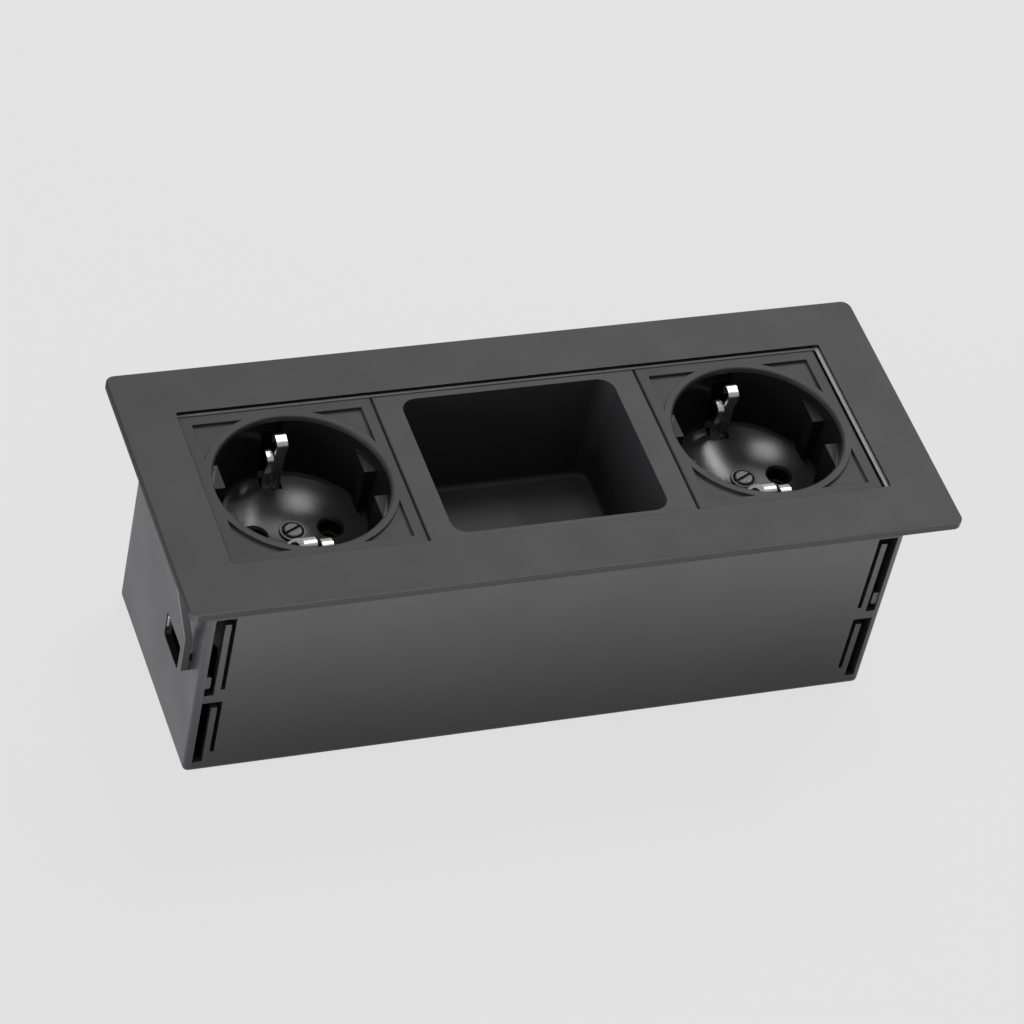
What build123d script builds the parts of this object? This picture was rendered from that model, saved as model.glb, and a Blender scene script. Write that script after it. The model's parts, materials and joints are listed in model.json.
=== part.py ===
from build123d import *
import math
import os

# An in-desk power module: a flat frame that lies on a desk top, two earthed round-pin socket inserts with
# a storage tray between them, and a box below that drops through a rectangular cut-out in the desk.
# Millimetres. X runs along the frame, Y to its back edge, Z up. Z = 0 is the underside of the frame's
# flange, which is the face that rests on the desk, and X = Y = 0 is the middle of the cut-out.

os.makedirs("parts", exist_ok=True)

# Frame on the desk top, drawn from its opening outwards
flange_beyond_end = 8.7
flange_beyond_side = 9.7
flange_thickness = 2.0
flange_corner = 2.5
flange_edge = 0.35
collar_depth = 6.0
collar_clearance = 0.2
collar_end = 3.2
collar_side = 2.9
ledge_thickness = 2.0
ledge_width = 1.5
crossbar_width = 2.8
gusset = 15.0

# Inserts that drop into the frame. A bead at the right end and one along the back hold them to the other side
face_margin_x = 0.85
face_margin_y = 1.3
tray_length = 68.2
insert_joint = 0.2
insert_clearance = 0.1
end_gap = 0.7
end_bead = 0.8
back_gap = 0.25
back_bead = 0.45
bead_drop = 1.1
insert_recess = 1.0
insert_plate = 2.0
insert_corner = 0.5
insert_edge = 0.35
skirt_wall = 1.5
hook_width = 5.0
socket_hook_offset = 8.0
hook_wall = 1.2
hook_reach = 1.0
hook_height = 1.8
hook_gap = 0.2

# Box under the desk
housing_depth = 65.0
wall = 1.8
floor_wall = 1.8
cap_wall = 1.8
bend_outside = 1.6
bend_inside = 0.6
cap_edge = 1.4

# Latch slots at the ends of the long walls, heights below the flange
slot_width = 5.1
upper_slot_top = 11.5
upper_slot_length = 26.2
slot_bridge = 2.6
slot_bottom_margin = 3.6
tongue_width = 1.5
tongue_gap = 1.1
tongue_thickness = 1.4
tongue_drop = 1.9
upper_root = 1.6
lower_root = 3.2
nub_length = 4.0
nub_width = 1.5
nub_height = 1.3
nub_inset = 0.5
nub_round = 0.6
nub_above_slot_end = 2.0

# Spring arm and window on each end cap
arm_width = 2.5
arm_thickness = 1.7
arm_standoff = 0.7
arm_front = 23.6
arm_bottom = 34.9
arm_root = 3.0
arm_kink = 24.3
arm_tip = 3.0
arm_lean = 12.2
arm_round = 0.5
window_length = 11.7
window_height = 7.8
window_middle = 9.35
window_top = 36.1
window_corner = 0.8
cap_rib_length = 3.0
cap_rib_wall = 1.5
cap_rib_margin = 6.0
clip_strip = 0.4
clip_width = 3.6
clip_lip = 1.5
clip_leg = 10.0
clip_drop = 3.1

# Socket wells, to the standard round-pin pattern
rim_radius = 21.4
well_depth = 17.5
well_taper = 1.8
well_wall = 1.4
well_floor = 1.6
rim_round = 0.6
floor_round = 1.2
ring_width = 2.0
pocket_border = 3.0
pocket_depth = 0.8
pin_spacing = 19.0
pin_hole_radius = 2.8
pin_hole_chamfer = 0.6
pin_boss_wall = 1.4
pin_boss_length = 2.4
pad_depth = 2.3
pad_drop = 4.0
pad_groove = 8.0
clip_slot_clearance = 0.3
clip_slot_inset = 5.4
clip_slot_rim = 1.0
clip_slot_beyond = 1.2
clip_slot_top = 1.5
centre_ring_radius = 3.3
centre_ring_wall = 0.6
centre_ring_height = 0.4

# Earth clip: a bent spring strip whose fingers stand in the well. Then the contacts and terminals
strip = 0.8
strip_bend = 1.2
earth_leg_inset = 3.4
earth_bow = 1.2
earth_curl = 2.4
earth_contact_drop = 3.4
earth_crown_drop = 2.4
earth_knee_below = 5.0
earth_tail = 3.0
earth_short_tail = 1.8
earth_bridge_width = 7.0
back_finger = (-1.4, 1.3)
back_short_finger = (-3.2, -1.6)
back_short_lower = 4.8
front_wide_finger = (-7.4, -1.2)
front_narrow_finger = (0.2, 3.0)
front_narrow_lower = 1.1
front_finger_slope = (4.0, 2.4)
sleeve_bore = 2.4
sleeve_wall = 0.9
sleeve_drop = 2.5
sleeve_slit = 1.0
sleeve_root = 2.0
terminal_side = 8.0
terminal_height = 8.0
earth_terminal_offset = 11.5
earth_tab_width = 4.0
terminal_clearance = 0.25
wire_space = 21.0
base_floor = 1.2
base_chamfer = 1.0
base_gap = 0.2

# Screws
screw_shank = 1.45
screw_play = 0.1
screw_hole_extra = 1.0
frame_screw_gap = 0.3
frame_screw_head = 2.7
frame_screw_head_height = 1.9
frame_screw_length = 12.0
frame_screw_hole = 1.7
tower_radius = 3.3
tower_rib = 1.6
centre_screw_head = 2.5
centre_screw_head_height = 1.6
centre_screw_length = 14.0
centre_screw_angle = 25.0
slot_cut = 0.7
terminal_screw_radius = 1.5
terminal_screw_length = 3.0
terminal_screw_head = 2.0
terminal_screw_head_height = 1.0
driver_hole_play = 0.2

# Tray
tray_margin_x = 6.6
tray_margin_y = 2.1
tray_rise = 34.0
tray_corner = 4.0
tray_draft = 1.5
tray_wall = 1.5
tray_floor_round = 1.5
tray_hook_offset = 12.0

# Mains inlet in the back wall: a three-pole panel connector
inlet_length = 28.0
inlet_height = 17.0
inlet_reach = 24.0
inlet_flange = 2.0
inlet_flange_thickness = 1.5
inlet_corner = 3.0
inlet_wall = 1.6
inlet_cavity_depth = 16.5
inlet_rise = 14.0
inlet_clearance = 0.2
inlet_pitch = 7.5
inlet_pin_radius = 1.5
inlet_pin_length = 12.0
inlet_pin_round = 0.9
inlet_pin_play = 0.05
inlet_tail = 3.0
inlet_latch = 1.2
inlet_key = 2.4

# Wires
wire_radius = 1.5
wire_core = 0.8
wire_core_length = 4.0
wire_hole_play = 0.2
wire_row = 2.2
wire_lanes = (-6.0, -12.0, -18.0)
wire_straight_in = 3.0
wire_slant = 13.0
wire_easy_bend = 15.0
wire_far_bend = 9.0
wire_drop_straight = 0.8

# Places worked out from the sizes above. The row of inserts sits at row_x and row_y from the opening's middle
face_z = flange_thickness - insert_recess
plate_under = face_z - insert_plate
ledge_top = -(collar_depth - ledge_thickness)
bead_top = flange_thickness - bead_drop
ring_radius = rim_radius + ring_width
socket_length = 2 * (ring_radius + face_margin_x)
socket_width = 2 * (ring_radius + face_margin_y)
joint_x = tray_length / 2 + insert_joint / 2
socket_x = tray_length / 2 + insert_joint + socket_length / 2
opening_length = 2 * (socket_x + socket_length / 2) + insert_clearance + end_gap + end_bead
opening_width = socket_width + insert_clearance + back_gap + back_bead
row_x = (insert_clearance - end_gap - end_bead) / 2
row_y = (insert_clearance - back_gap - back_bead) / 2
cap_inside = opening_length / 2 + collar_end + collar_clearance
wall_inside = opening_width / 2 + collar_side + collar_clearance
housing_length = 2 * (cap_inside + cap_wall)
housing_width = 2 * (wall_inside + wall)
flange_length = housing_length + 2 * flange_beyond_end
flange_width = housing_width + 2 * flange_beyond_side
box_bottom = -housing_depth
box_floor = box_bottom + floor_wall
lower_slot_top = upper_slot_top + upper_slot_length + slot_bridge
lower_slot_length = housing_depth - slot_bottom_margin - lower_slot_top
screw_x = row_x + socket_x + socket_length / 2 - skirt_wall - frame_screw_head - frame_screw_gap
screw_y = row_y + socket_width / 2 - skirt_wall - frame_screw_head - frame_screw_gap
well_z = face_z - well_depth
well_under = well_z - well_floor
well_floor_radius = rim_radius - well_taper
clip_slot_near = well_floor_radius - clip_slot_inset
clip_slot_far = well_floor_radius - clip_slot_rim
base_radius = well_floor_radius + well_wall
base_top = well_under - base_gap
base_z = box_bottom + wire_space
terminal_z = base_z + base_floor
terminal_top = terminal_z + terminal_height
terminal_screw_z = terminal_z + terminal_height / 2
wire_end_z = terminal_z + wire_core_length
sleeve_top = base_top - sleeve_drop
screw_seat = well_z - centre_screw_head_height / 2
pin_x = pin_spacing / 2
strip_z = base_top - strip / 2
earth_leg = well_floor_radius - earth_leg_inset
earth_contact = earth_leg - earth_bow
earth_crown = earth_leg + earth_curl
earth_shoulder = earth_leg - 3 * strip / 2
earth_y = -earth_terminal_offset
back_span = (back_short_finger[0], back_finger[1])
front_span = (front_wide_finger[0], front_narrow_finger[1])
tray_opening_length = tray_length - 2 * tray_margin_x
tray_opening_width = socket_width - 2 * tray_margin_y
tray_floor_z = box_bottom + tray_rise
tray_depth = face_z - tray_floor_z
inlet_z = box_bottom + inlet_rise
inlet_back = housing_width / 2 + inlet_flange_thickness
inlet_inside = inlet_back - inlet_flange_thickness - inlet_reach
cavity_y = inlet_back - inlet_cavity_depth
entry_y = inlet_inside + inlet_tail


def block(x0, x1, y0, y1, z0, z1):
    """A box between two corners."""
    middle = Pos((x0 + x1) / 2, (y0 + y1) / 2, (z0 + z1) / 2)
    return middle * Box(abs(x1 - x0), abs(y1 - y0), abs(z1 - z0))


def slab(length, width, z0, z1, corner=0.0):
    """A flat plate centred on Z, with rounded corners where asked."""
    outline = RectangleRounded(length, width, corner) if corner else Rectangle(length, width)
    return extrude(Plane.XY.offset(z0) * outline, z1 - z0)


def post(x, y, z0, z1, radius):
    """An upright cylinder."""
    return Pos(x, y, (z0 + z1) / 2) * Cylinder(radius, abs(z1 - z0))


def rod(start, end, radius):
    """A cylinder from one point to another."""
    line = Line(start, end)
    return extrude(Plane(origin=start, z_dir=line % 0) * Circle(radius), line.length)


def turned(points):
    """A solid turned about Z from a closed outline of (radius, height) points."""
    outline = Polyline(*[(r, 0, z) for r, z in points], close=True)
    return revolve(make_face(outline), Axis.Z, 360)


def four_ways(x, y):
    """The four mirror images of a place in plan."""
    return [(sx * x, sy * y) for sx in (-1, 1) for sy in (-1, 1)]


def save(shape, name):
    """Writes one piece to its own file."""
    export_step(shape, f"parts/{name}.step")


def slotted_screw(head_radius, head_height, shank_radius, length, z_seat):
    """A pan-head screw standing on Z, with its head resting at z_seat and a slot across it."""
    head = post(0, 0, z_seat, z_seat + head_height, head_radius)
    head = fillet(head.edges().group_by(Axis.Z)[-1], head_height * 0.4)
    top = z_seat + head_height
    head -= block(-head_radius, head_radius, -slot_cut / 2, slot_cut / 2, top - head_height / 2, top + 1)
    return head + post(0, 0, z_seat - length, z_seat, shank_radius)


# Top frame: flange, collar and the ledge that carries the inserts
def make_top_frame():
    plate = slab(flange_length, flange_width, 0, flange_thickness, flange_corner)
    plate = chamfer(plate.faces().sort_by(Axis.Z)[-1].edges(), flange_edge)
    collar_length = 2 * (cap_inside - collar_clearance)
    collar_width = 2 * (wall_inside - collar_clearance)
    frame = plate + slab(collar_length, collar_width, -collar_depth, 0, bend_inside)
    frame -= slab(opening_length, opening_width, ledge_top, flange_thickness + 1, insert_corner)
    tray_gap = slab(2 * (joint_x - crossbar_width / 2), opening_width, -collar_depth, ledge_top)
    frame -= Pos(row_x, 0, 0) * tray_gap
    half = opening_width / 2 - ledge_width
    for side in (-1, 1):
        inner_end = row_x + side * (joint_x + crossbar_width / 2)
        outer_end = side * (opening_length / 2 - ledge_width)
        bed = block(inner_end, outer_end, -half, half, -collar_depth, ledge_top)
        corner_x = side * opening_length / 2
        for end in (-1, 1):
            corner_y = end * opening_width / 2
            plan = Polyline(
                (corner_x, corner_y),
                (corner_x - side * gusset, corner_y),
                (corner_x, corner_y - end * gusset),
                close=True,
            )
            bed -= extrude(Plane.XY.offset(-collar_depth) * make_face(plan), ledge_thickness)
        frame -= bed
    for x, y in four_ways(screw_x, screw_y):
        frame -= post(x, y, -collar_depth, ledge_top, frame_screw_hole)
    end = opening_length / 2
    back = opening_width / 2
    frame += block(end - end_bead, end, -back, back, ledge_top, bead_top)
    frame += block(-end, end, back - back_bead, back, ledge_top, bead_top)
    return frame


def inlet_outline(length, height, corner, y, depth):
    """A rounded, upright rectangle at a depth in Y, grown towards +Y."""
    plane = Plane(origin=(0, y, inlet_z), x_dir=(1, 0, 0), z_dir=(0, 1, 0))
    return extrude(plane * RectangleRounded(length, height, corner), depth)


# Trough: front wall, floor and back wall in one moulding, with latch slots at both ends
def make_trough():
    length = 2 * cap_inside
    outer = Pos(0, 0, box_bottom / 2) * Box(length, housing_width, housing_depth)
    outer = fillet(outer.edges().filter_by(Axis.X).group_by(Axis.Z)[0], bend_outside)
    inner_height = -box_floor
    inner = Pos(0, 0, box_floor / 2) * Box(length, 2 * wall_inside, inner_height)
    inner = fillet(inner.edges().filter_by(Axis.X).group_by(Axis.Z)[0], bend_inside)
    trough = outer - inner
    for end in (-1, 1):
        for side in (-1, 1):
            trough = cut_latch_slots(trough, end, side)
            trough += make_tower(end, side)
    cut_length = inlet_length + 2 * inlet_clearance
    cut_height = inlet_height + 2 * inlet_clearance
    corner = inlet_corner + inlet_clearance
    return trough - inlet_outline(cut_length, cut_height, corner, wall_inside, wall)


def cut_latch_slots(trough, end, side):
    """Two slots one above the other, each with a spring tongue standing in it."""
    near = side * wall_inside
    far = side * housing_width / 2
    slot_inner = cap_inside - slot_width
    tongue_inner = slot_inner + tongue_gap
    tongue_outer = tongue_inner + tongue_width
    tongue_near = far - side * tongue_thickness
    for top, run, root in (
        (upper_slot_top, upper_slot_length, upper_root),
        (lower_slot_top, lower_slot_length, lower_root),
    ):
        bottom = -(top + run)
        trough -= block(end * slot_inner, end * cap_inside, near, far, bottom, -top)
        trough += block(end * slot_inner, end * tongue_outer, near, far, bottom, bottom + root)
        trough += block(
            end * tongue_inner, end * tongue_outer, tongue_near, far, bottom, -top - tongue_drop
        )
    return trough


def make_tower(end, side):
    """A screw tower in a corner of the trough, with a rib that ties it to the long wall."""
    x = end * screw_x
    y = side * screw_y
    top = -collar_depth
    tower = post(x, y, box_floor, top, tower_radius)
    tower += block(x - tower_rib / 2, x + tower_rib / 2, y, side * wall_inside, box_floor, top)
    hole_bottom = ledge_top - frame_screw_length - screw_hole_extra
    return tower - post(x, y, hole_bottom, top, screw_shank + screw_play)


# End cap: a flat plate with a window, a spring arm, latch nubs and a seating rib
def make_end_cap():
    """The cap for the left end. The right end takes the same moulding turned half a turn."""
    inside = -cap_inside
    outside = -housing_length / 2
    plate = block(outside, inside, -housing_width / 2, housing_width / 2, box_bottom, 0)
    plate = fillet(plate.edges().filter_by(Axis.X).group_by(Axis.Z)[0], bend_outside)
    bottom_edges = plate.faces().sort_by(Axis.X)[0].edges().group_by(Axis.Z)[0]
    plate = fillet(bottom_edges, cap_edge)
    window_plan = Plane(
        origin=(outside, -window_middle, -window_top - window_height / 2), z_dir=(1, 0, 0)
    ) * RectangleRounded(window_height, window_length, window_corner)
    plate -= extrude(window_plan, cap_wall)
    nub_low = -(lower_slot_top - slot_bridge) + nub_above_slot_end
    for side in (-1, 1):
        nub_far = side * (housing_width / 2 - nub_inset)
        nub_near = nub_far - side * nub_height
        nub = block(inside, inside + nub_width, nub_near, nub_far, nub_low, nub_low + nub_length)
        plate += fillet(nub.faces().sort_by(Axis.X)[-1].edges().filter_by(Axis.Y), nub_round)
    rib_half = wall_inside - cap_rib_margin
    rib_low = box_floor + collar_clearance
    plate += block(inside, inside + cap_rib_length, -rib_half, rib_half, rib_low, rib_low + cap_rib_wall)
    return plate + make_arm(outside)


def make_arm(outside):
    """A spring arm rooted low on the cap, which leans out under the flange to grip the cut-out."""
    lean = math.tan(math.radians(arm_lean)) * (arm_kink - arm_tip)
    near = outside - arm_standoff
    far = near - arm_thickness
    outline = Polyline(
        (outside, 0, -arm_bottom),
        (far, 0, -arm_bottom),
        (far, 0, -arm_kink),
        (far - lean, 0, -arm_tip),
        (near - lean, 0, -arm_tip),
        (near, 0, -arm_kink),
        (near, 0, -arm_bottom + arm_root),
        (outside, 0, -arm_bottom + arm_root),
        close=True,
    )
    face = Pos(0, -arm_front, 0) * make_face(outline)
    arm = extrude(face, arm_width, dir=(0, 1, 0))
    tip = arm.faces().sort_by(Axis.Z)[-1].edges().filter_by(Axis.Y)
    return fillet(tip, arm_round)


def make_window_clip():
    """A bright spring-steel clip hooked over the back edge of the window, for the left cap."""
    inside = -cap_inside
    edge = -window_middle + window_length / 2
    middle = -window_top - clip_drop
    low = middle - clip_width / 2
    high = middle + clip_width / 2
    lip = block(inside - clip_lip, inside + clip_strip, edge - clip_strip, edge, low, high)
    leg = block(inside, inside + clip_strip, edge - clip_strip, edge + clip_leg, low, high)
    return lip + leg


# Socket insert: square face with a ringed well
def cup_radius(z):
    """The inside radius of the well at a height."""
    return well_floor_radius + (rim_radius - well_floor_radius) * (z - well_z) / well_depth


def make_socket_face():
    body = slab(socket_length, socket_width, ledge_top, face_z, insert_corner)
    body = chamfer(body.faces().sort_by(Axis.Z)[-1].edges(), insert_edge)
    border = 2 * pocket_border
    sunk = Rectangle(socket_length - border, socket_width - border) - Circle(ring_radius)
    body -= extrude(Plane.XY.offset(face_z - pocket_depth) * sunk, pocket_depth)
    skirt = 2 * skirt_wall
    under = Rectangle(socket_length - skirt, socket_width - skirt) - Circle(ring_radius)
    body -= extrude(Plane.XY.offset(ledge_top) * under, plate_under - ledge_top)
    cup = turned([
        (0, well_under),
        (well_floor_radius + well_wall, well_under),
        (cup_radius(ledge_top) + well_wall, ledge_top),
        (cup_radius(ledge_top) + well_wall, plate_under),
        (0, plate_under),
    ])
    body += cup
    void = turned([(0, well_z), (well_floor_radius, well_z), (rim_radius, face_z), (0, face_z)])
    void = fillet(void.edges().group_by(Axis.Z)[0], floor_round)
    body -= void
    rim = [e for e in body.edges().filter_by(GeomType.CIRCLE) if abs(e.radius - rim_radius) < 0.01]
    body = fillet(rim, rim_round)
    body += make_pads(cup)
    return cut_socket_holes(body)


def make_pads(cup):
    """Two guide pads on the well's side walls, each split by a groove."""
    top = face_z - pad_drop
    chord = well_floor_radius - pad_depth
    reach = rim_radius + well_wall
    pads = block(chord, reach, -reach, reach, well_under, top)
    pads += block(-reach, -chord, -reach, reach, well_under, top)
    pads -= block(-reach, reach, -pad_groove / 2, pad_groove / 2, well_under, top)
    return pads & cup


def cut_socket_holes(body):
    for side in (-1, 1):
        x = side * pin_x
        body += post(x, 0, well_under - pin_boss_length, well_under, pin_hole_radius + pin_boss_wall)
        body -= post(x, 0, well_under - pin_boss_length, well_z, pin_hole_radius)
        body -= Pos(x, 0, well_z - pin_hole_chamfer / 2) * Cone(
            pin_hole_radius, pin_hole_radius + pin_hole_chamfer, pin_hole_chamfer
        )
    for side, (left, right) in ((1, back_span), (-1, front_span)):
        x0 = left - clip_slot_clearance
        x1 = right + clip_slot_clearance
        body -= block(x0, x1, side * clip_slot_near, side * clip_slot_far, well_under, well_z)
    x0 = back_span[0] - clip_slot_clearance
    x1 = back_span[1] + clip_slot_clearance
    far = rim_radius + clip_slot_beyond
    body -= block(x0, x1, clip_slot_near, far, well_z, face_z - clip_slot_top)
    recess = centre_ring_radius - centre_ring_wall
    ring = post(0, 0, well_z, well_z + centre_ring_height, centre_ring_radius)
    body += ring - post(0, 0, well_z, well_z + centre_ring_height, recess)
    body -= post(0, 0, screw_seat, well_z, recess)
    body -= post(0, 0, well_under, well_z, screw_shank + screw_play)
    return body + make_socket_hooks()


def make_socket_hooks():
    """Snap hooks under the insert that catch below the frame's ledge."""
    hooks = []
    limit = opening_width / 2 - ledge_width - hook_gap
    barb_top = -collar_depth - hook_gap
    for x in (-socket_hook_offset, socket_hook_offset):
        for end in (-1, 1):
            far = end * limit - row_y
            near = far - end * hook_wall
            leg = block(
                x - hook_width / 2, x + hook_width / 2, near, far, barb_top - hook_height, plate_under
            )
            barb = Polyline(
                (0, far, barb_top),
                (0, far + end * hook_reach, barb_top),
                (0, far, barb_top - hook_height),
                close=True,
            )
            barb = Pos(x - hook_width / 2, 0, 0) * make_face(barb)
            hooks.append(leg + extrude(barb, hook_width, dir=(1, 0, 0)))
    return hooks


# Socket base: the moulding behind the well that holds the contacts
def make_socket_base():
    base = post(0, 0, base_z, base_top, base_radius)
    base = chamfer(base.edges().group_by(Axis.Z)[0], base_chamfer)
    chamber = terminal_side / 2 + terminal_clearance
    driver_hole = terminal_screw_head + driver_hole_play
    wire_hole = wire_radius + wire_hole_play
    for side in (-1, 1):
        x = side * pin_x
        base -= block(x - chamber, x + chamber, -chamber, chamber, terminal_z, base_top)
        base -= post(x, 0, base_z, terminal_z, wire_hole)
        base -= rod((x, 0, terminal_screw_z), (side * base_radius, 0, terminal_screw_z), driver_hole)
    earth_top = terminal_top + strip
    base -= block(-chamber, chamber, earth_y - chamber, earth_y + chamber, terminal_z, earth_top)
    tab = earth_tab_width / 2 + terminal_clearance
    base -= block(-tab, tab, earth_y - strip, earth_y + strip, earth_top, base_top)
    base -= post(0, earth_y, base_z, terminal_z, wire_hole)
    base -= rod((0, earth_y, terminal_screw_z), (0, -base_radius, terminal_screw_z), driver_hole)
    channel_floor = base_top - strip - base_gap
    channel = earth_bridge_width / 2 + terminal_clearance
    base -= block(-channel, channel, -base_radius, base_radius, channel_floor, base_top)
    for side, (left, right) in ((1, back_span), (-1, front_span)):
        x0 = min(left, -channel) - terminal_clearance
        x1 = max(right, channel) + terminal_clearance
        near = side * (earth_shoulder - strip_bend - terminal_clearance)
        base -= block(x0, x1, near, side * base_radius, channel_floor, base_top)
    screw_bottom = screw_seat - centre_screw_length - screw_hole_extra
    return base - post(0, 0, screw_bottom, base_top, screw_shank + screw_play)


# Earth clip: one strip bent to a U, with sprung fingers that curl over at both ends
def bent_strip(side, span, points):
    """A strip bent along (y, z) points, as wide as a span of X."""
    line = FilletPolyline(*[(side * y, z) for y, z in points], radius=strip_bend)
    return extrude(Plane.YZ.offset(span[0]) * trace(line, strip), span[1] - span[0])


def earth_finger(side, span, lower, tail):
    """One finger, from under the well up its leg and over the crown."""
    contact_z = face_z - earth_contact_drop - lower
    crown_z = face_z - earth_crown_drop - lower
    return bent_strip(side, span, [
        (earth_shoulder - strip_bend, strip_z),
        (earth_leg, strip_z),
        (earth_leg, contact_z - earth_knee_below),
        (earth_contact, contact_z),
        (earth_crown, crown_z),
        (earth_crown, crown_z - tail),
    ])


def make_earth_clip():
    half = earth_bridge_width / 2
    low = strip_z - strip / 2
    clip = block(-half, half, -earth_shoulder, earth_shoulder, low, low + strip)
    for side, span in ((1, back_span), (-1, front_span)):
        foot = [(earth_shoulder - strip_bend, strip_z), (earth_leg, strip_z), (earth_leg, well_z - strip)]
        clip += bent_strip(side, span, foot)
    clip += earth_finger(1, back_finger, 0, earth_tail)
    clip += earth_finger(1, back_short_finger, back_short_lower, earth_short_tail)
    wide = earth_finger(-1, front_wide_finger, 0, earth_tail)
    run, drop = front_finger_slope
    left = front_wide_finger[0]
    top = face_z - earth_crown_drop + strip
    corner = Polyline((left, 0, top), (left + run, 0, top), (left, 0, top - strip - drop), close=True)
    clip += wide - extrude(make_face(corner), 2 * earth_crown, dir=(0, -1, 0))
    clip += earth_finger(-1, front_narrow_finger, front_narrow_lower, earth_short_tail)
    clip -= post(0, 0, strip_z - strip, strip_z + strip, screw_shank + 3 * screw_play)
    tab = earth_tab_width / 2
    return clip + block(
        -tab, tab, earth_y - strip / 2, earth_y + strip / 2, terminal_top, low
    )


# Line and neutral contacts: a split sleeve on a terminal block, at the socket's middle
def make_contact(side):
    half = terminal_side / 2
    top = terminal_top
    contact = block(-half, half, -half, half, terminal_z, top)
    contact += post(0, 0, top, sleeve_top, sleeve_bore + sleeve_wall)
    contact -= post(0, 0, top, sleeve_top, sleeve_bore)
    slit = sleeve_slit / 2
    contact -= block(-half, half, -slit, slit, top + sleeve_root, sleeve_top)
    contact -= post(0, 0, terminal_z, wire_end_z + wire_hole_play, wire_core + screw_play)
    tip = side * (half - terminal_screw_length - screw_play)
    contact -= rod((side * half, 0, terminal_screw_z), (tip, 0, terminal_screw_z), terminal_screw_radius)
    return Pos(side * pin_x, 0, 0) * contact


def make_earth_terminal():
    half = terminal_side / 2
    terminal = block(-half, half, -half, half, terminal_z, terminal_top)
    terminal -= post(0, 0, terminal_z, wire_end_z + wire_hole_play, wire_core + screw_play)
    tip = -(half - terminal_screw_length - screw_play)
    terminal -= rod((0, -half, terminal_screw_z), (0, tip, terminal_screw_z), terminal_screw_radius)
    return Pos(0, earth_y, 0) * terminal


def make_terminal_screws():
    """The three wire clamp screws of one socket, heads outwards."""
    head = terminal_screw_head
    top = terminal_screw_head_height
    screw = post(0, 0, 0, top, head) - block(-head, head, -slot_cut / 2, slot_cut / 2, top / 2, top)
    screw += post(0, 0, -terminal_screw_length, 0, terminal_screw_radius - screw_play)
    half = terminal_side / 2
    places = (
        ((pin_x + half, 0), (1, 0, 0)),
        ((-pin_x - half, 0), (-1, 0, 0)),
        ((0, earth_y - half), (0, -1, 0)),
    )
    return [Plane(origin=(x, y, terminal_screw_z), z_dir=out) * screw for (x, y), out in places]


# Storage tray between the sockets
def make_tray():
    body = slab(tray_length, socket_width, ledge_top, face_z, insert_corner)
    body = chamfer(body.faces().sort_by(Axis.Z)[-1].edges(), insert_edge)
    hollow_far = tray_length / 2 - skirt_wall
    hollow_near = tray_opening_length / 2 + tray_wall
    half = socket_width / 2 - skirt_wall
    for side in (-1, 1):
        body -= block(side * hollow_near, side * hollow_far, -half, half, ledge_top, plate_under)
    narrowing = 2 * math.tan(math.radians(tray_draft)) * tray_depth
    top_shape = RectangleRounded(tray_opening_length, tray_opening_width, tray_corner)
    low_shape = RectangleRounded(
        tray_opening_length - narrowing, tray_opening_width - narrowing, tray_corner
    )
    void = loft([Plane.XY.offset(tray_floor_z) * low_shape, Plane.XY.offset(face_z) * top_shape])
    void = fillet(void.faces().sort_by(Axis.Z)[0].edges(), tray_floor_round)
    grow = 2 * tray_wall
    outer_length = tray_opening_length + grow
    outer_width = tray_opening_width + grow
    outer_corner = tray_corner + tray_wall
    top_outer = RectangleRounded(outer_length, outer_width, outer_corner)
    low_outer = RectangleRounded(outer_length - narrowing, outer_width - narrowing, outer_corner)
    shell = loft([
        Plane.XY.offset(tray_floor_z - tray_wall) * low_outer,
        Plane.XY.offset(face_z - insert_edge) * top_outer,
    ])
    shell = fillet(shell.faces().sort_by(Axis.Z)[0].edges(), tray_floor_round + tray_wall)
    body = body + shell - void + make_tray_hooks()
    return Pos(row_x, row_y, 0) * body


def make_tray_hooks():
    hooks = []
    limit = joint_x - crossbar_width / 2 - hook_gap
    barb_top = -collar_depth - hook_gap
    for end in (-1, 1):
        for y in (-tray_hook_offset, tray_hook_offset):
            far = end * limit
            leg = block(
                far - end * hook_wall, far, y - hook_width / 2, y + hook_width / 2,
                barb_top - hook_height, plate_under,
            )
            barb = Polyline(
                (far, 0, barb_top),
                (far + end * hook_reach, 0, barb_top),
                (far, 0, barb_top - hook_height),
                close=True,
            )
            barb = Pos(0, y - hook_width / 2, 0) * make_face(barb)
            hooks.append(leg + extrude(barb, hook_width, dir=(0, 1, 0)))
    return hooks


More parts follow.
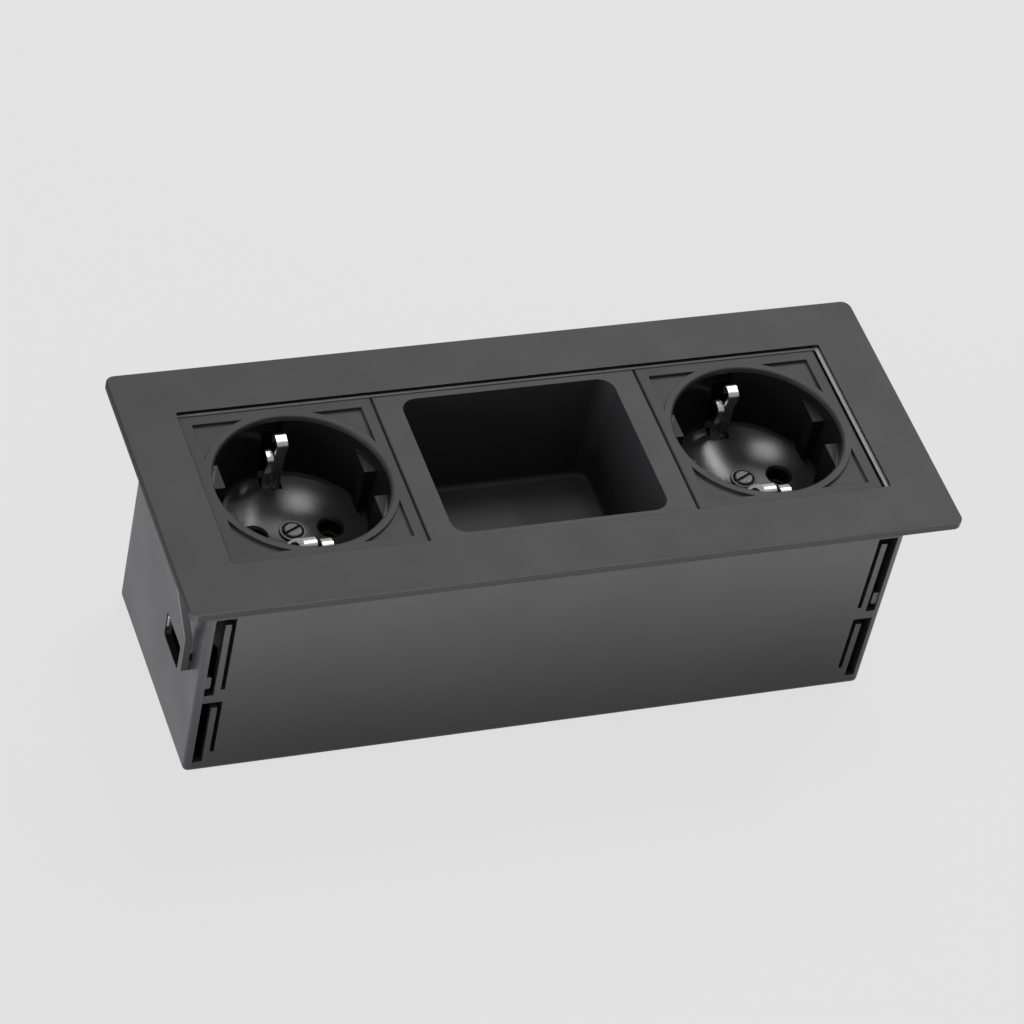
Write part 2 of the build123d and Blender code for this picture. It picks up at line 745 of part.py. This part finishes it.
# Mains inlet
def make_inlet():
    outer_face = housing_width / 2
    body = inlet_outline(inlet_length, inlet_height, inlet_corner, inlet_inside, inlet_reach)
    body += inlet_outline(
        inlet_length + 2 * inlet_flange,
        inlet_height + 2 * inlet_flange,
        inlet_corner + inlet_flange,
        outer_face,
        inlet_flange_thickness,
    )
    cavity_length = inlet_length - 2 * inlet_wall
    cavity_height = inlet_height - 2 * inlet_wall
    cavity_corner = inlet_corner - inlet_wall
    body -= inlet_outline(cavity_length, cavity_height, cavity_corner, cavity_y, inlet_cavity_depth)
    for side in (-1, 1):
        key_x = side * (cavity_length / 2)
        body += block(
            key_x, key_x - side * inlet_key / 2, cavity_y, outer_face,
            inlet_z - cavity_height / 2, inlet_z - cavity_height / 2 + inlet_key,
        )
        latch = Polyline(
            (side * inlet_length / 2, wall_inside - inlet_clearance, 0),
            (side * (inlet_length / 2 + inlet_latch), wall_inside - inlet_clearance, 0),
            (side * inlet_length / 2, wall_inside - inlet_clearance - 3 * inlet_latch, 0),
            close=True,
        )
        latch = Pos(0, 0, inlet_z - inlet_key) * make_face(latch)
        body += extrude(latch, 2 * inlet_key, dir=(0, 0, 1))
    for pole in (-1, 0, 1):
        x = pole * inlet_pitch
        bore = inlet_pin_radius + inlet_pin_play
        body -= rod((x, entry_y, inlet_z), (x, cavity_y, inlet_z), bore)
        for row in (-1, 1):
            z = inlet_z + row * wire_row
            body -= rod((x, inlet_inside, z), (x, entry_y, z), wire_radius + wire_hole_play)
    return body


def make_inlet_pin(pole):
    x = pole * inlet_pitch
    pin = rod((x, entry_y, inlet_z), (x, cavity_y + inlet_pin_length, inlet_z), inlet_pin_radius)
    return fillet(pin.edges().sort_by(Axis.Y)[-1], inlet_pin_round)


# Wires from the sockets to the inlet
def make_wire(end, x, y, lane, pole, slant, easy):
    """A wire from a terminal at x, y to an inlet pin, along its own lane under the sockets."""
    row = inlet_z - end * wire_row
    entry_x = pole * inlet_pitch
    first_bend = base_z - row - wire_drop_straight
    turn_x = x - end * slant
    points = [
        (x, y, terminal_z),
        (x, y, row),
        (turn_x, lane, row),
        (entry_x, lane, row),
        (entry_x, entry_y, row),
    ]
    last_bend = inlet_inside - wire_straight_in - lane
    line = FilletPolyline(*points, radius=(first_bend, easy, last_bend))
    wire = sweep(Plane(origin=line @ 0, z_dir=line % 0) * Circle(wire_radius), line)
    return wire + post(x, y, terminal_z, wire_end_z, wire_core)


save(make_top_frame(), "top_frame")
save(make_trough(), "housing_trough")
save(make_tray(), "tray_insert")

half_turn = Rot(0, 0, 180)
left_cap = make_end_cap()
left_clip = make_window_clip()
save(left_cap, "end_cap_left")
save(half_turn * left_cap, "end_cap_right")
save(left_clip, "window_clip_left")
save(half_turn * left_clip, "window_clip_right")

frame_screw = slotted_screw(
    frame_screw_head, frame_screw_head_height, screw_shank, frame_screw_length, ledge_top
)
save(Compound([Pos(x, y, 0) * frame_screw for x, y in four_ways(screw_x, screw_y)]), "frame_screws")

socket_face = make_socket_face()
socket_base = make_socket_base()
earth_clip = make_earth_clip()
earth_terminal = make_earth_terminal()
centre_screw = Rot(0, 0, centre_screw_angle) * slotted_screw(
    centre_screw_head, centre_screw_head_height, screw_shank, centre_screw_length, screw_seat
)
terminal_screws = make_terminal_screws()
centre_screws = []
wire_screws = []
for end, name in ((-1, "left"), (1, "right")):
    middle_x = row_x + end * socket_x
    at = Pos(middle_x, row_y, 0)
    save(at * socket_face, f"socket_face_{name}")
    save(at * socket_base, f"socket_base_{name}")
    save(at * earth_clip, f"earth_clip_{name}")
    save(at * earth_terminal, f"earth_terminal_{name}")
    save(at * make_contact(-1), f"line_contact_{name}")
    save(at * make_contact(1), f"neutral_contact_{name}")
    centre_screws.append(at * centre_screw)
    wire_screws.extend(at * screw for screw in terminal_screws)
    near, far = ("neutral", "line") if end < 0 else ("line", "neutral")
    for pole_name, dx, dy, lane, pole, slant, easy in (
        (near, -end * pin_x, 0, wire_lanes[0], end, wire_slant, wire_easy_bend),
        ("earth", 0, earth_y, wire_lanes[1], 0, wire_slant, wire_easy_bend),
        (far, end * pin_x, 0, wire_lanes[2], -end, 0, wire_far_bend),
    ):
        wire = make_wire(end, middle_x + dx, row_y + dy, lane, pole, slant, easy)
        save(wire, f"wire_{pole_name}_{name}")
save(Compound(centre_screws), "centre_screws")
save(Compound(wire_screws), "terminal_screws")

save(make_inlet(), "inlet_housing")
for pole, name in ((-1, "neutral"), (0, "earth"), (1, "line")):
    save(make_inlet_pin(pole), f"inlet_pin_{name}")
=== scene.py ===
import bpy
import json
import math

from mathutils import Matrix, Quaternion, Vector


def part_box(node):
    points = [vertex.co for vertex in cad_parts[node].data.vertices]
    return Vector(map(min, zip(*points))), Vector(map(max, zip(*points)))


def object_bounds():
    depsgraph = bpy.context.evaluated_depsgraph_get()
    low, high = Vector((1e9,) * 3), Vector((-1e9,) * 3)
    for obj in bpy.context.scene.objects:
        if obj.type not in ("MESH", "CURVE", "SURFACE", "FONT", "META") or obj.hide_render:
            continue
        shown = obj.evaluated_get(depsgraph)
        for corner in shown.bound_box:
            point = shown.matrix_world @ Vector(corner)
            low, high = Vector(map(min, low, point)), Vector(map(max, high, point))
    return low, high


# Materials, floor, light and camera for the in-desk power module. Lengths are in metres.

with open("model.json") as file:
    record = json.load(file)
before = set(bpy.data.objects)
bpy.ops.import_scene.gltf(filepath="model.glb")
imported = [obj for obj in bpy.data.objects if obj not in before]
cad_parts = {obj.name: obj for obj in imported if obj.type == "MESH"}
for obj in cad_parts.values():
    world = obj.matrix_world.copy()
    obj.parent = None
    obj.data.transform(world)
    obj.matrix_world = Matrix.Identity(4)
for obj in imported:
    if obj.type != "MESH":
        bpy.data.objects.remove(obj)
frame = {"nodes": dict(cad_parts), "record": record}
cad_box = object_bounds()

# Places where one moulding changes its tone or gloss, most of them for painted shade or a painted
# highlight.
# X, Y and Z count from the part's origin, in the middle of the flange's underside. A place that is
# found at both ends or sides is given once.
SLACK = 0.0001  # a zone reaches this far past a face, so that the whole face is in it
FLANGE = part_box("top_frame")[1]  # the flange's outer sides, at its highest X and Y
OPENING = (0.0836, 0.0251)  # the walls of the frame's opening
OPENING_SLACK = 0.00012  # as SLACK, for those walls
BEAD_TOP = 0.0009  # the top of the locating beads in the opening
BEAD_DEPTH = 0.0004  # how far down their painted highlight reaches
END_BEAD = 0.0008  # their width at the right end
BACK_BEAD = 0.00045  # their width along the back
CAP_OUTSIDE = 0.0888  # an end cap's outer face
ARM_SIDE = 0.0236  # the cut sides of its spring arm
WINDOW_DEPTH = 0.0017  # how far into its window the painted shade reaches
WINDOW_Y = (0.0035, 0.0152)
WINDOW_Z = (-0.0439, -0.0361)
TRAY_FLOOR = -0.031
FLOOR_SLACK = 0.0004  # as SLACK, for the floors of the tray and the wells

# Depths below a socket's face, and what lies round the middle of its well
WELL_START = 0.0013  # its glossier finish and its painted shade begin here
WELL_DEPTH = 0.0175
PAD_DROP = 0.0040  # the tops of the guide pads, and how far from the middle they reach
PAD_REACH = 0.0206
DISH_RISE = 0.0003  # how far above the well's floor its dish is still shaded
FLOOR_DISH = 22.0  # how much that dish tilts, per metre from the middle

# How the procedural textures are read
RAMP_SPAN = (0.3, 0.7)
NOISE_SPAN = (0.25, 0.75)
EDGE_SPAN = (0.995, 0.80)  # how far rounded and flat shading agree, from no wear to full wear
WORN_GAIN = 1.5  # a worn edge is this many times as bright as the plastic
WORN_LIFT = 0.006  # and this much more
GRAIN_STRENGTH = 0.5
MOULD_EDGE = 0.00025
DRAWN = (1.0, 1.0, 0.05)  # draws a metal's lines out along Z

# The floor is level with the part's lowest point. FLOOR_GLOW is the share of its own even tone in
# what the camera and reflections see of it.
FLOOR_Z = cad_box[0][2]
FLOOR_SIZE = 12.0
FLOOR_TONES = (0.764, 0.770)
FLOOR_GLOW = 0.93

# The camera, fitted to the photograph. Its turn is in degrees.
CAMERA_PLACE = (-0.35628, -0.67197, 0.72059)
CAMERA_TURN = (44.951, -9.616, -18.246)
CAMERA_LENS_MM = 153.10
SENSOR_WIDTH_MM = 36.0
CAMERA_RANGE = (0.05, 60.0)

WHITE = (1.0, 1.0, 1.0)
WORLD_STRENGTH = 0.30


def grey(level):
    return (level, level, level)


def new_material(name):
    material = bpy.data.materials.new(name)
    material.use_nodes = True
    tree = material.node_tree
    return material, tree, tree.nodes["Principled BSDF"]


def noise(tree, scale, detail=2.0, rough=0.5, stretch=(1.0, 1.0, 1.0)):
    """A 3-D noise in object space, stretched where asked."""
    place = tree.nodes.new("ShaderNodeTexCoord")
    mapping = tree.nodes.new("ShaderNodeMapping")
    mapping.inputs["Scale"].default_value = stretch
    texture = tree.nodes.new("ShaderNodeTexNoise")
    texture.inputs["Scale"].default_value = scale
    texture.inputs["Detail"].default_value = detail
    texture.inputs["Roughness"].default_value = rough
    tree.links.new(place.outputs["Object"], mapping.inputs["Vector"])
    tree.links.new(mapping.outputs["Vector"], texture.inputs["Vector"])
    return texture.outputs["Fac"]


def ramp(tree, factor, low, high):
    """Turns a noise into a colour between two tones."""
    node = tree.nodes.new("ShaderNodeValToRGB")
    for element, position, tone in zip(node.color_ramp.elements, RAMP_SPAN, (low, high)):
        element.position = position
        element.color = (*tone, 1)
    tree.links.new(factor, node.inputs["Fac"])
    return node.outputs["Color"]


def remap(tree, value, source, target):
    """Carries a number from one span to another, and holds it there."""
    node = tree.nodes.new("ShaderNodeMapRange")
    for socket, limit in zip(("From Min", "From Max", "To Min", "To Max"), (*source, *target)):
        node.inputs[socket].default_value = limit
    tree.links.new(value, node.inputs["Value"])
    return node.outputs["Result"]


def spread(tree, factor, low, high):
    """Turns a noise into a number between two limits."""
    return remap(tree, factor, NOISE_SPAN, (low, high))


def number(tree, operation, *values):
    """One step of arithmetic on grey values and plain numbers."""
    node = tree.nodes.new("ShaderNodeMath")
    node.operation = operation
    for socket, value in zip(node.inputs, values):
        if isinstance(value, (int, float)):
            socket.default_value = value
        else:
            tree.links.new(value, socket)
    return node.outputs["Value"]


def vector(tree, operation, *values):
    """One step of arithmetic on vectors."""
    node = tree.nodes.new("ShaderNodeVectorMath")
    node.operation = operation
    for socket, value in zip(node.inputs, values):
        if isinstance(value, tuple):
            socket.default_value = value
        else:
            tree.links.new(value, socket)
    return node.outputs["Value" if operation == "DOT_PRODUCT" else "Vector"]


def blend(tree, factor, first, second):
    """Mixes two colours by a grey value."""
    node = tree.nodes.new("ShaderNodeMix")
    node.data_type = "RGBA"
    tree.links.new(factor, node.inputs["Factor"])
    for socket, colour in ((node.inputs["A"], first), (node.inputs["B"], second)):
        if isinstance(colour, tuple):
            socket.default_value = (*colour, 1)
        else:
            tree.links.new(colour, socket)
    return node.outputs["Result"]


def bump(tree, height, strength, distance, under=None):
    node = tree.nodes.new("ShaderNodeBump")
    node.inputs["Strength"].default_value = strength
    node.inputs["Distance"].default_value = distance
    tree.links.new(height, node.inputs["Height"])
    if under is not None:
        tree.links.new(under, node.inputs["Normal"])
    return node.outputs["Normal"]


def soft_edges(tree, radius):
    """Rounds the shading over sharp edges, as a moulded edge looks."""
    node = tree.nodes.new("ShaderNodeBevel")
    node.samples = 4
    node.inputs["Radius"].default_value = radius
    return node.outputs["Normal"]


def worn_edges(tree, rounded):
    """Rises where the rounded shading leaves the flat one, broken up as handling does."""
    flat = tree.nodes.new("ShaderNodeNewGeometry").outputs["Normal"]
    edge = remap(tree, vector(tree, "DOT_PRODUCT", rounded, flat), EDGE_SPAN, (0.0, 1.0))
    patches = spread(tree, noise(tree, scale=180.0, detail=3.0), 0.1, 1.0)
    return number(tree, "MULTIPLY", edge, patches)


def finish(tree, colour, gloss, normal):
    """Links a material's colour, roughness and surface normal into its shader."""
    bsdf = tree.nodes["Principled BSDF"]
    tree.links.new(colour, bsdf.inputs["Base Color"])
    tree.links.new(gloss, bsdf.inputs["Roughness"])
    tree.links.new(normal, bsdf.inputs["Normal"])


def moulded(name, dark, light, rough, grain=2600.0, grain_depth=0.00004, specular=0.5):
    """Moulded black plastic: grain, cloudy tone, rubbed patches and slightly polished edges."""
    material, tree, bsdf = new_material(name)
    rounded = soft_edges(tree, MOULD_EDGE)
    body = ramp(tree, noise(tree, scale=28.0, detail=3.0), dark, light)
    rubbed = tuple(WORN_GAIN * tone + WORN_LIFT for tone in light)
    colour = blend(tree, worn_edges(tree, rounded), body, rubbed)
    gloss = spread(tree, noise(tree, scale=60.0, detail=4.0), rough - 0.04, rough + 0.05)
    normal = bump(tree, noise(tree, scale=grain, rough=0.6), GRAIN_STRENGTH, grain_depth, rounded)
    finish(tree, colour, gloss, normal)
    bsdf.inputs["Specular IOR Level"].default_value = specular
    return material


def metal(name, dark, light, rough, edge=0.00015):
    """Plated or bare metal with fine drawing lines and uneven gloss."""
    material, tree, bsdf = new_material(name)
    lines = noise(tree, scale=1800.0, stretch=DRAWN)
    colour = ramp(tree, noise(tree, scale=220.0, detail=3.0), dark, light)
    gloss = spread(tree, lines, rough - 0.05, rough + 0.08)
    normal = bump(tree, lines, strength=0.05, distance=0.00002, under=soft_edges(tree, edge))
    finish(tree, colour, gloss, normal)
    bsdf.inputs["Metallic"].default_value = 1.0
    return material


def sleeve(name, dark, light):
    """Soft wire sleeve with the slight ripple of the strands beneath."""
    material, tree, _ = new_material(name)
    colour = ramp(tree, noise(tree, scale=300.0, detail=3.0), dark, light)
    gloss = spread(tree, noise(tree, scale=150.0), 0.38, 0.5)
    normal = bump(tree, noise(tree, scale=900.0), strength=0.2, distance=0.00005)
    finish(tree, colour, gloss, normal)
    return material


def axes_from(tree, middle=(0.0, 0.0, 0.0)):
    """X, Y and Z on the object, counted from a point of it."""
    place = tree.nodes.new("ShaderNodeTexCoord")
    axes = tree.nodes.new("ShaderNodeSeparateXYZ")
    tree.links.new(vector(tree, "SUBTRACT", place.outputs["Object"], middle), axes.inputs["Vector"])
    return [axes.outputs[axis] for axis in "XYZ"]


def band(tree, place, low, high):
    """1 where a place on the object lies between two limits, else 0."""
    above = number(tree, "GREATER_THAN", place, low)
    return number(tree, "MULTIPLY", above, number(tree, "LESS_THAN", place, high))


def near(tree, place, level, slack=SLACK):
    """1 where a place on the object lies at a level, else 0."""
    return band(tree, place, level - slack, level + slack)


def within(tree, place, limits):
    """1 where a place on the object lies between two faces or on them, else 0."""
    return band(tree, place, limits[0] - SLACK, limits[1] + SLACK)


def refinish(material, mask, dark, light, rough):
    """Gives a moulding another tone and gloss where a mask is 1, for a finish or for painted light
    and shade.
    """
    tree = material.node_tree
    bsdf = tree.nodes["Principled BSDF"]
    colour = bsdf.inputs["Base Color"].links[0].from_socket
    other = ramp(tree, noise(tree, scale=40.0, detail=3.0), dark, light)
    tree.links.new(blend(tree, mask, colour, other), bsdf.inputs["Base Color"])
    gloss = tree.nodes.new("ShaderNodeMix")
    patches = spread(tree, noise(tree, scale=90.0, detail=3.0), rough - 0.03, rough + 0.05)
    tree.links.new(mask, gloss.inputs["Factor"])
    tree.links.new(bsdf.inputs["Roughness"].links[0].from_socket, gloss.inputs["A"])
    tree.links.new(patches, gloss.inputs["B"])
    tree.links.new(gloss.outputs["Result"], bsdf.inputs["Roughness"])


def regrain(material, mask, strength):
    """Gives a moulding another strength of grain where a mask is 1."""
    tree = material.node_tree
    normal = tree.nodes["Principled BSDF"].inputs["Normal"]
    grain = normal.links[0].from_node
    level = remap(tree, mask, (0.0, 1.0), (GRAIN_STRENGTH, strength))
    tree.links.new(level, grain.inputs["Strength"])


def frame_look():
    """The frame: painted shade on its outer sides and opening, painted highlights on the beads at
    its end and back.
    """
    dark, light = (0.035, 0.035, 0.036), (0.040, 0.040, 0.041)
    material = moulded("frame_black", dark, light, 0.55, specular=0.35)
    tree = material.node_tree
    x, y, height = axes_from(tree)
    x_either = number(tree, "ABSOLUTE", x)
    y_either = number(tree, "ABSOLUTE", y)
    along = number(tree, "LESS_THAN", x_either, OPENING[0] + OPENING_SLACK)
    across = number(tree, "LESS_THAN", y_either, OPENING[1] + OPENING_SLACK)
    inside = number(tree, "MULTIPLY", along, across)
    above = number(tree, "GREATER_THAN", height, BEAD_TOP + SLACK)
    opening_wall_shade = number(tree, "MULTIPLY", inside, above)
    bead_height = band(tree, height, BEAD_TOP - BEAD_DEPTH, BEAD_TOP + SLACK)
    bead_highlight_band = number(tree, "MULTIPLY", inside, bead_height)
    end_side_shade = number(tree, "GREATER_THAN", x_either, FLANGE[0] - SLACK)
    long_side_shade = number(tree, "GREATER_THAN", y_either, FLANGE[1] - SLACK)
    at_back = number(tree, "GREATER_THAN", y, OPENING[1] - BACK_BEAD - SLACK)
    back_bead_highlight = number(tree, "MULTIPLY", bead_highlight_band, at_back)
    at_end = number(tree, "GREATER_THAN", x, OPENING[0] - END_BEAD - SLACK)
    end_bead_highlight = number(tree, "MULTIPLY", bead_highlight_band, at_end)
    # painted shade: the opening's walls, and a thin rim of the top face round them, are near black
    # where shade falls
    refinish(material, opening_wall_shade, grey(0.003), grey(0.004), 0.2)
    # painted shade: the flange's outer end and long sides are darker than the rest of the frame
    refinish(material, end_side_shade, grey(0.020), grey(0.024), 0.65)
    refinish(material, long_side_shade, grey(0.006), grey(0.008), 0.65)
    # painted highlight: the beads at the opening's back and right end are light grey, standing in
    # for a glint
    refinish(material, back_bead_highlight, grey(0.28), grey(0.36), 0.34)
    refinish(material, end_bead_highlight, (0.36, 0.36, 0.356), (0.48, 0.48, 0.475), 0.34)
    regrain(material, end_bead_highlight, 0.05)
    return material


def tray_look():
    """The tray: painted light makes its floor a little greyer than its rim and walls."""
    material = moulded("tray_black", grey(0.032), grey(0.038), 0.50, specular=0.33)
    tree = material.node_tree
    height = axes_from(tree)[2]
    floor = near(tree, height, TRAY_FLOOR, FLOOR_SLACK)
    # painted light: the tray's floor is greyer than its rim and walls, standing in for light falling
    # on it
    refinish(material, floor, grey(0.050), grey(0.059), 0.5)
    return material


def cap_look():
    """An end cap: glossier than the box, with painted shade on its arm's cut sides and in its
    window.
    """
    dark, light = (0.037, 0.036, 0.041), (0.042, 0.041, 0.047)
    material = moulded("cap_black", dark, light, 0.36, specular=0.42)
    tree = material.node_tree
    x, y, height = axes_from(tree)
    x_either = number(tree, "ABSOLUTE", x)
    y_either = number(tree, "ABSOLUTE", y)
    outside = number(tree, "GREATER_THAN", x_either, CAP_OUTSIDE + SLACK)
    arm_side_shade = number(tree, "MULTIPLY", outside, near(tree, y_either, ARM_SIDE))
    in_plate = band(tree, x_either, CAP_OUTSIDE - WINDOW_DEPTH, CAP_OUTSIDE - SLACK)
    in_plan = number(tree, "MULTIPLY", in_plate, within(tree, y_either, WINDOW_Y))
    window_shade = number(tree, "MULTIPLY", in_plan, within(tree, height, WINDOW_Z))
    # painted shade: the arm's cut sides and the inside of the window are near black
    refinish(material, arm_side_shade, (0.007, 0.007, 0.008), (0.010, 0.010, 0.011), 0.60)
    refinish(material, window_shade, grey(0.005), grey(0.008), 0.5)
    regrain(material, window_shade, 0.3)
    return material


def socket_look(name, node):
    """A socket face: matt on top, glossier and with painted shade in its well, its floor's normals
    tilted as a dish.
    """
    material = moulded(name, grey(0.037), grey(0.043), 0.50, specular=0.24)
    tree = material.node_tree
    low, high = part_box(node)
    middle = ((low[0] + high[0]) / 2, (low[1] + high[1]) / 2, high[2])
    x, y, height = axes_from(tree, middle)
    well_gloss_and_shade = number(tree, "LESS_THAN", height, -WELL_START)
    squares = number(tree, "ADD", number(tree, "MULTIPLY", x, x), number(tree, "MULTIPLY", y, y))
    near_middle = number(tree, "LESS_THAN", squares, PAD_REACH**2)
    pad_top_shade = number(tree, "MULTIPLY", near(tree, height, -PAD_DROP), near_middle)
    # the well's lower roughness is its finish; its near-black tone is painted shade, as is the
    # darker tone of the matt pad tops
    refinish(material, well_gloss_and_shade, grey(0.010), grey(0.013), 0.19)
    refinish(material, pad_top_shade, grey(0.014), grey(0.019), 0.50)
    regrain(material, pad_top_shade, 0.4)

    floor = band(tree, height, -WELL_DEPTH - FLOOR_SLACK, -WELL_DEPTH + DISH_RISE)
    pull = number(tree, "MULTIPLY", floor, -FLOOR_DISH)
    tilt = tree.nodes.new("ShaderNodeCombineXYZ")
    tree.links.new(number(tree, "MULTIPLY", x, pull), tilt.inputs["X"])
    tree.links.new(number(tree, "MULTIPLY", y, pull), tilt.inputs["Y"])
    normal = tree.nodes["Principled BSDF"].inputs["Normal"]
    total = vector(tree, "ADD", normal.links[0].from_socket, tilt.outputs["Vector"])
    tree.links.new(vector(tree, "NORMALIZE", total), normal)
    return material


CAP = cap_look()
CLIP = metal("clip_satin", (0.80, 0.80, 0.79), (0.90, 0.90, 0.89), 0.30, edge=0.0009)

# The looks of the pieces that differ from the rest of their material slot, then those of the slots
PIECE_LOOKS = {
    "socket_face_left": socket_look("insert_gloss_left", "socket_face_left"),
    "socket_face_right": socket_look("insert_gloss_right", "socket_face_right"),
    "tray_insert": tray_look(),
    "end_cap_left": CAP,
    "end_cap_right": CAP,
    "window_clip_left": CLIP,
    "window_clip_right": CLIP,
}
SLOT_LOOKS = {
    "frame_black": frame_look(),
    "housing_black": moulded(
        "housing_black", (0.034, 0.034, 0.035), (0.040, 0.040, 0.041), 0.46, specular=0.3),
    "insert_black": moulded("insert_black", grey(0.032), grey(0.038), 0.50, specular=0.28),
    "inlet_black": moulded("inlet_black", grey(0.020), grey(0.026), 0.48),
    "screw_dark": moulded(
        "screw_dark", (0.016, 0.016, 0.017), (0.030, 0.030, 0.031), 0.32,
        grain=3200.0, grain_depth=0.00002),
    "spring_steel": metal(
        "spring_steel", (0.80, 0.80, 0.79), (0.90, 0.90, 0.89), 0.28, edge=0.00008),
    # painted shade: the contacts' brass is darkened well below its own tone, as it lies deep in the
    # pin holes
    "contact_brass": metal("contact_brass", (0.22, 0.16, 0.08), (0.32, 0.24, 0.12), 0.42),
    "screw_steel": metal("screw_steel", (0.55, 0.56, 0.57), (0.70, 0.70, 0.70), 0.26),
    "wire_brown": sleeve("wire_brown", (0.15, 0.065, 0.03), (0.20, 0.09, 0.04)),
    "wire_blue": sleeve("wire_blue", (0.04, 0.12, 0.36), (0.06, 0.16, 0.44)),
    "wire_green": sleeve("wire_green", (0.16, 0.36, 0.06), (0.22, 0.46, 0.09)),
}

slots = {part["node"]: part["material_slot"] for part in frame["record"]["subparts"]}
for node, piece in frame["nodes"].items():
    piece.data.materials.clear()
    piece.data.materials.append(PIECE_LOOKS.get(node) or SLOT_LOOKS[slots[node]])


def make_floor():
    """A wide pale floor. What the camera and reflections see of it is mostly its own even tone,
    with the object's shadow kept on top, faint as in the photograph."""
    bpy.ops.mesh.primitive_plane_add(size=FLOOR_SIZE, location=(0, 0, FLOOR_Z))
    floor = bpy.context.object
    floor.name = "floor"
    material, tree, bsdf = new_material("floor_pale")
    dark, light = (grey(tone) for tone in FLOOR_TONES)
    colour = ramp(tree, noise(tree, scale=1.5), dark, light)
    tree.links.new(colour, bsdf.inputs["Base Color"])
    bsdf.inputs["Roughness"].default_value = 0.9
    bsdf.inputs["Specular IOR Level"].default_value = 0.1
    glow = tree.nodes.new("ShaderNodeEmission")
    tree.links.new(colour, glow.inputs["Color"])
    path = tree.nodes.new("ShaderNodeLightPath")
    seen = path.outputs["Is Camera Ray"]
    for ray in ("Is Glossy Ray", "Is Transmission Ray"):
        seen = number(tree, "MAXIMUM", seen, path.outputs[ray])
    mix = tree.nodes.new("ShaderNodeMixShader")
    tree.links.new(number(tree, "MULTIPLY", seen, FLOOR_GLOW), mix.inputs["Fac"])
    tree.links.new(bsdf.outputs["BSDF"], mix.inputs[1])
    tree.links.new(glow.outputs["Emission"], mix.inputs[2])
    tree.links.new(mix.outputs["Shader"], tree.nodes["Material Output"].inputs["Surface"])
    floor.data.materials.append(material)


def make_world():
    world = bpy.data.worlds.new("studio")
    world.use_nodes = True
    background = world.node_tree.nodes["Background"]
    background.inputs["Color"].default_value = (*WHITE, 1)
    background.inputs["Strength"].default_value = WORLD_STRENGTH
    bpy.context.scene.world = world


def make_lamp(name, place, size, power, target=(0, 0, 0), tone=WHITE, spread_angle=180.0, roll=0.0):
    """A rectangular soft lamp that faces a point, rolled about its own axis where asked. Its power
    is in watts and its angles in degrees. A small spread angle makes it a beam, as a grid does."""
    data = bpy.data.lights.new(name, "AREA")
    data.shape = "RECTANGLE"
    data.size, data.size_y = size
    data.energy = power
    data.color = tone
    data.spread = math.radians(spread_angle)
    lamp = bpy.data.objects.new(name, data)
    bpy.context.collection.objects.link(lamp)
    lamp.location = place
    back = [a - b for a, b in zip(place, target)]
    turn = Quaternion((0, 0, 1), math.radians(roll))
    lamp.rotation_mode = "QUATERNION"
    lamp.rotation_quaternion = Vector(back).to_track_quat("Z", "Y") @ turn


def make_camera():
    data = bpy.data.cameras.new("camera")
    data.sensor_width = SENSOR_WIDTH_MM
    data.lens = CAMERA_LENS_MM
    data.clip_start, data.clip_end = CAMERA_RANGE
    camera = bpy.data.objects.new("camera", data)
    bpy.context.collection.objects.link(camera)
    camera.location = CAMERA_PLACE
    camera.rotation_euler = [math.radians(angle) for angle in CAMERA_TURN]
    bpy.context.scene.camera = camera


make_floor()
make_world()
make_lamp("top", (0.16, 0.50, 1.47), (0.32, 0.36), 5.8)
make_lamp("right", (0.96, 0.64, 1.24), (0.12, 0.85), 9.0, roll=54.0)
make_lamp("over", (0.0, 0.05, 1.6), (0.8, 0.5), 1.2)
make_lamp("back", (0.50, 1.07, 1.17), (0.5, 0.4), 3.5)
make_lamp(
    "left", (-1.6, -0.2, 0.35), (0.9, 0.7), 12.0, target=(0, 0, -0.03), tone=(0.93, 0.89, 1.0))
make_lamp(
    "front", (0.1, -0.9, -0.015), (0.5, 0.03), 0.24, target=(0, 0, 0.010), spread_angle=10.0)
make_camera()
bpy.context.scene.view_settings.view_transform = "Standard"
